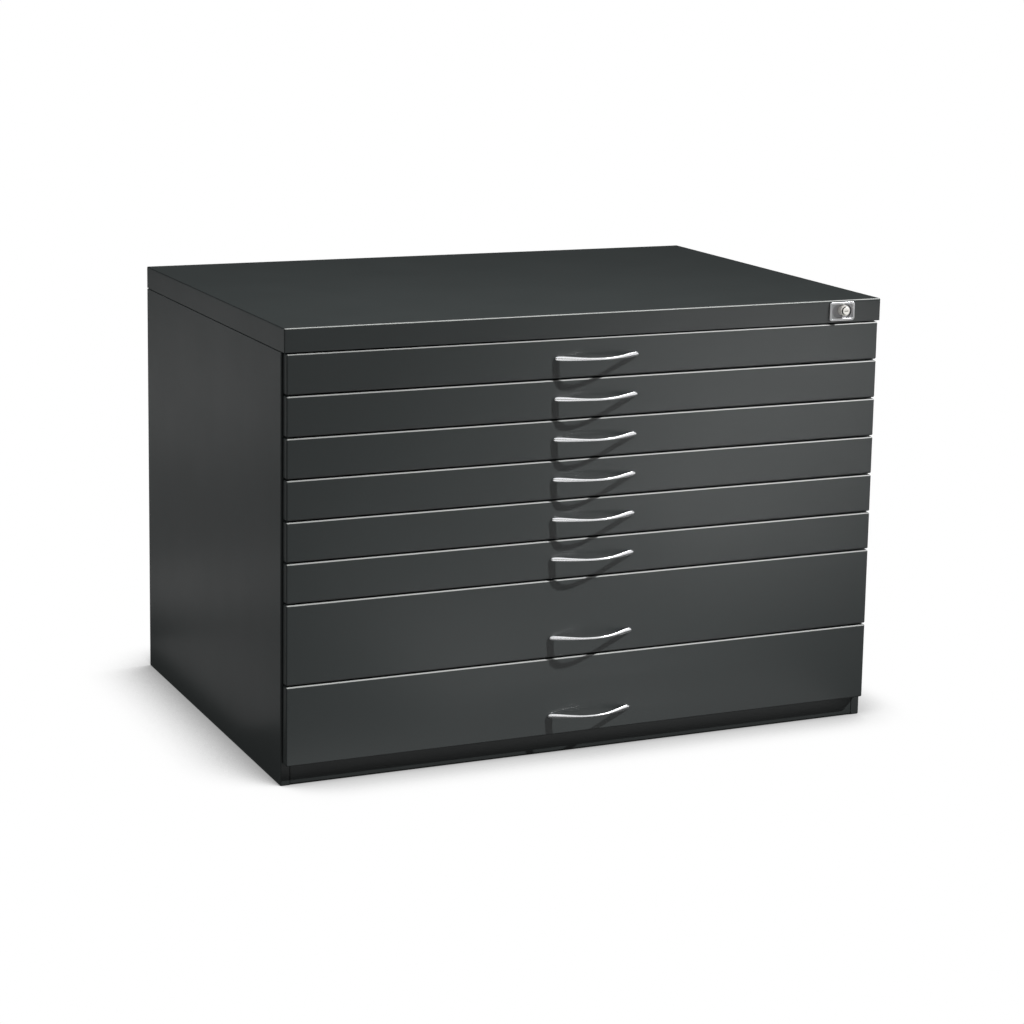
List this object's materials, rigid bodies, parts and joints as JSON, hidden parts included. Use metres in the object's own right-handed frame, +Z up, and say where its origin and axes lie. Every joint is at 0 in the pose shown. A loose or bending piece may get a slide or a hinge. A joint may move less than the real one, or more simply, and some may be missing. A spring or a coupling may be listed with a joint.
{
  "type": "flat file cabinet",
  "caption": "Steel flat file cabinet with shallow and deep drawers on telescopic slides, bow handles, a closed plinth and a push lock that works a central locking bar.",
  "frame": {"origin": "on the floor, in the middle of the footprint, which reaches from the handles' bows to the back of the top cover", "axes": "+X to the right along the front, +Y to the back, +Z up; the drawers open towards -Y"},
  "size_m": [1.1, 0.794, 0.76],
  "materials": {
    "coated_steel": "smooth semi-gloss anthracite powder coat",
    "front_coat": "smooth semi-gloss anthracite powder coat on the drawer fronts",
    "tray_coat": "satin anthracite powder coat on the drawer trays",
    "zinc_steel": "bright zinc-plated steel of slides and lock parts",
    "handle_chrome": "satin chrome",
    "lock_chrome": "polished chrome",
    "lock_steel": "turned nickel-plated face of the lock plug"
  },
  "bodies": {
    "cabinet": {"top_cover": "coated_steel", "side_panel_left": "coated_steel", "side_panel_right": "coated_steel", "back_panel": "coated_steel", "base_panel": "coated_steel", "plinth_front": "coated_steel", "top_front_rail": "coated_steel", "slide_rack_left": "zinc_steel", "slide_rack_right": "zinc_steel", "lock_plate": "lock_chrome"},
    "lock_push": {"lock_barrel": "lock_chrome", "lock_arm": "zinc_steel"},
    "lock_key_plug": {"lock_plug": "lock_steel"},
    "locking_bar": {"lock_bar": "zinc_steel"},
    "drawer_1": {"drawer_front_1": "front_coat", "drawer_tray_1": "tray_coat", "handle_1": "handle_chrome"},
    "slides_1": {"slide_middle_left_1": "zinc_steel", "slide_middle_right_1": "zinc_steel"},
    "drawer_2": {"drawer_front_2": "front_coat", "drawer_tray_2": "tray_coat", "handle_2": "handle_chrome"},
    "slides_2": {"slide_middle_left_2": "zinc_steel", "slide_middle_right_2": "zinc_steel"},
    "drawer_3": {"drawer_front_3": "front_coat", "drawer_tray_3": "tray_coat", "handle_3": "handle_chrome"},
    "slides_3": {"slide_middle_left_3": "zinc_steel", "slide_middle_right_3": "zinc_steel"},
    "drawer_4": {"drawer_front_4": "front_coat", "drawer_tray_4": "tray_coat", "handle_4": "handle_chrome"},
    "slides_4": {"slide_middle_left_4": "zinc_steel", "slide_middle_right_4": "zinc_steel"},
    "drawer_5": {"drawer_front_5": "front_coat", "drawer_tray_5": "tray_coat", "handle_5": "handle_chrome"},
    "slides_5": {"slide_middle_left_5": "zinc_steel", "slide_middle_right_5": "zinc_steel"},
    "drawer_6": {"drawer_front_6": "front_coat", "drawer_tray_6": "tray_coat", "handle_6": "handle_chrome"},
    "slides_6": {"slide_middle_left_6": "zinc_steel", "slide_middle_right_6": "zinc_steel"},
    "drawer_7": {"drawer_front_7": "front_coat", "drawer_tray_7": "tray_coat", "handle_7": "handle_chrome"},
    "slides_7": {"slide_middle_left_7": "zinc_steel", "slide_middle_right_7": "zinc_steel"},
    "drawer_8": {"drawer_front_8": "front_coat", "drawer_tray_8": "tray_coat", "handle_8": "handle_chrome"},
    "slides_8": {"slide_middle_left_8": "zinc_steel", "slide_middle_right_8": "zinc_steel"}
  },
  "joints": [
    {"name": "lock_push", "type": "slide", "parent": "cabinet", "child": "lock_push", "axis": [0, 1, 0], "range_m": [0, 0.008], "stiffness_N_per_m": 300},
    {"name": "lock_turn", "type": "hinge", "parent": "lock_push", "child": "lock_key_plug", "pos_m": [0.4745, -0.368, 0.742], "axis": [0, -1, 0], "range_deg": [0, 90]},
    {"name": "locking_bar_lift", "type": "slide", "parent": "cabinet", "child": "locking_bar", "axis": [0, 0, 1], "range_m": [0, 0.008]},
    {"name": "drawer_1_slide", "type": "slide", "parent": "cabinet", "child": "drawer_1", "axis": [0, -1, 0], "range_m": [0, 0.68]},
    {"name": "slides_1_run", "type": "slide", "parent": "cabinet", "child": "slides_1", "axis": [0, -1, 0], "range_m": [0, 0.34]},
    {"name": "drawer_2_slide", "type": "slide", "parent": "cabinet", "child": "drawer_2", "axis": [0, -1, 0], "range_m": [0, 0.68]},
    {"name": "slides_2_run", "type": "slide", "parent": "cabinet", "child": "slides_2", "axis": [0, -1, 0], "range_m": [0, 0.34]},
    {"name": "drawer_3_slide", "type": "slide", "parent": "cabinet", "child": "drawer_3", "axis": [0, -1, 0], "range_m": [0, 0.68]},
    {"name": "slides_3_run", "type": "slide", "parent": "cabinet", "child": "slides_3", "axis": [0, -1, 0], "range_m": [0, 0.34]},
    {"name": "drawer_4_slide", "type": "slide", "parent": "cabinet", "child": "drawer_4", "axis": [0, -1, 0], "range_m": [0, 0.68]},
    {"name": "slides_4_run", "type": "slide", "parent": "cabinet", "child": "slides_4", "axis": [0, -1, 0], "range_m": [0, 0.34]},
    {"name": "drawer_5_slide", "type": "slide", "parent": "cabinet", "child": "drawer_5", "axis": [0, -1, 0], "range_m": [0, 0.68]},
    {"name": "slides_5_run", "type": "slide", "parent": "cabinet", "child": "slides_5", "axis": [0, -1, 0], "range_m": [0, 0.34]},
    {"name": "drawer_6_slide", "type": "slide", "parent": "cabinet", "child": "drawer_6", "axis": [0, -1, 0], "range_m": [0, 0.68]},
    {"name": "slides_6_run", "type": "slide", "parent": "cabinet", "child": "slides_6", "axis": [0, -1, 0], "range_m": [0, 0.34]},
    {"name": "drawer_7_slide", "type": "slide", "parent": "cabinet", "child": "drawer_7", "axis": [0, -1, 0], "range_m": [0, 0.68]},
    {"name": "slides_7_run", "type": "slide", "parent": "cabinet", "child": "slides_7", "axis": [0, -1, 0], "range_m": [0, 0.34]},
    {"name": "drawer_8_slide", "type": "slide", "parent": "cabinet", "child": "drawer_8", "axis": [0, -1, 0], "range_m": [0, 0.68]},
    {"name": "slides_8_run", "type": "slide", "parent": "cabinet", "child": "slides_8", "axis": [0, -1, 0], "range_m": [0, 0.34]}
  ],
  "couplings": [
    {"joint": "locking_bar_lift", "follows": "lock_push", "ratio": 1},
    {"joint": "slides_1_run", "follows": "drawer_1_slide", "ratio": 0.5},
    {"joint": "slides_2_run", "follows": "drawer_2_slide", "ratio": 0.5},
    {"joint": "slides_3_run", "follows": "drawer_3_slide", "ratio": 0.5},
    {"joint": "slides_4_run", "follows": "drawer_4_slide", "ratio": 0.5},
    {"joint": "slides_5_run", "follows": "drawer_5_slide", "ratio": 0.5},
    {"joint": "slides_6_run", "follows": "drawer_6_slide", "ratio": 0.5},
    {"joint": "slides_7_run", "follows": "drawer_7_slide", "ratio": 0.5},
    {"joint": "slides_8_run", "follows": "drawer_8_slide", "ratio": 0.5}
  ]
}
